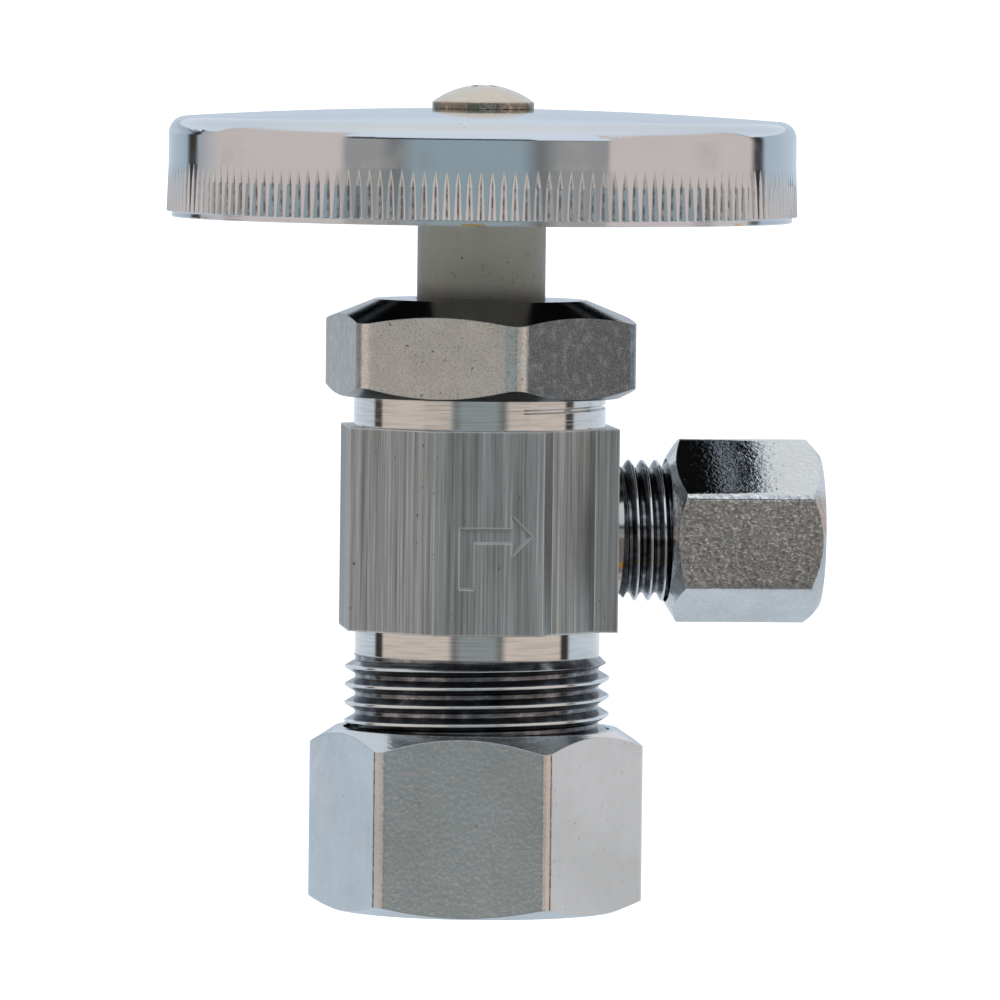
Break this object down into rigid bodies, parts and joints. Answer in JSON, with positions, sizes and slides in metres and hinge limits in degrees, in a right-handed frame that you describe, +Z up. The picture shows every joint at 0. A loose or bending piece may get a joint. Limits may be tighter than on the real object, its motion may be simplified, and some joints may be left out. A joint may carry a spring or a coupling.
{
  "type": "angle stop valve",
  "caption": "Multi-turn angle stop valve with a knurled round handwheel, a compression inlet below and a smaller compression outlet at the side.",
  "frame": {"origin": "centre of the inlet nut's lower face, on the inlet tube's axis", "axes": "+Z up along the inlet and the stem, +X along the outlet"},
  "size_m": [0.051, 0.049, 0.064],
  "materials": {
    "body_satin_chrome": "satin chrome plate over brass, with fine drawn lines along the block",
    "bonnet_nickel": "warm grey plate with a fine grain",
    "bare_brass": "turned brass",
    "packing_rubber": "moulded rubber",
    "stem_plastic": "warm grey acetal",
    "wheel_chrome": "bright chrome plate",
    "screw_nickel": "warm nickel plate",
    "nut_chrome": "chrome plate with fine pits and a hammered grain"
  },
  "bodies": {
    "valve_body": {"valve_body": "body_satin_chrome", "bonnet_nut": "bonnet_nickel", "gland_ring": "bare_brass", "stem_packing": "packing_rubber", "packing_washer": "bare_brass"},
    "seat_washer": {"seat_washer": "packing_rubber"},
    "stem": {"stem": "stem_plastic", "seat_washer_screw": "bare_brass", "handwheel": "wheel_chrome", "handwheel_screw": "screw_nickel"},
    "inlet_sleeve": {"inlet_sleeve": "bare_brass"},
    "inlet_nut": {"inlet_nut": "nut_chrome"},
    "outlet_sleeve": {"outlet_sleeve": "bare_brass"},
    "outlet_nut": {"outlet_nut": "nut_chrome"}
  },
  "joints": [
    {"name": "stem_rise", "type": "slide", "parent": "valve_body", "child": "seat_washer", "axis": [0, 0, 1], "range_m": [-0.0035, 0.00044]},
    {"name": "handwheel_turn", "type": "hinge", "parent": "seat_washer", "child": "stem", "pos_m": [0, 0, 0.055], "axis": [0, 0, 1], "range_deg": [-720, 90]},
    {"name": "inlet_sleeve_travel", "type": "slide", "parent": "valve_body", "child": "inlet_sleeve", "axis": [0, 0, 1], "range_m": [-0.00353, 0.00141]},
    {"name": "inlet_nut_turn", "type": "hinge", "parent": "inlet_sleeve", "child": "inlet_nut", "pos_m": [0, 0, 0.007], "axis": [0, 0, 1], "range_deg": [-900, 360]},
    {"name": "outlet_sleeve_travel", "type": "slide", "parent": "valve_body", "child": "outlet_sleeve", "axis": [1, 0, 0], "range_m": [-0.00079, 0.00265]},
    {"name": "outlet_nut_turn", "type": "hinge", "parent": "outlet_sleeve", "child": "outlet_nut", "pos_m": [0.0206, 0, 0.02952], "axis": [1, 0, 0], "range_deg": [-270, 900]}
  ],
  "couplings": [
    {"joint": "stem_rise", "follows": "handwheel_turn", "m_per_rad": 0.00027852},
    {"joint": "inlet_sleeve_travel", "follows": "inlet_nut_turn", "m_per_rad": 0.00022459},
    {"joint": "outlet_sleeve_travel", "follows": "outlet_nut_turn", "m_per_rad": 0.00016844}
  ]
}
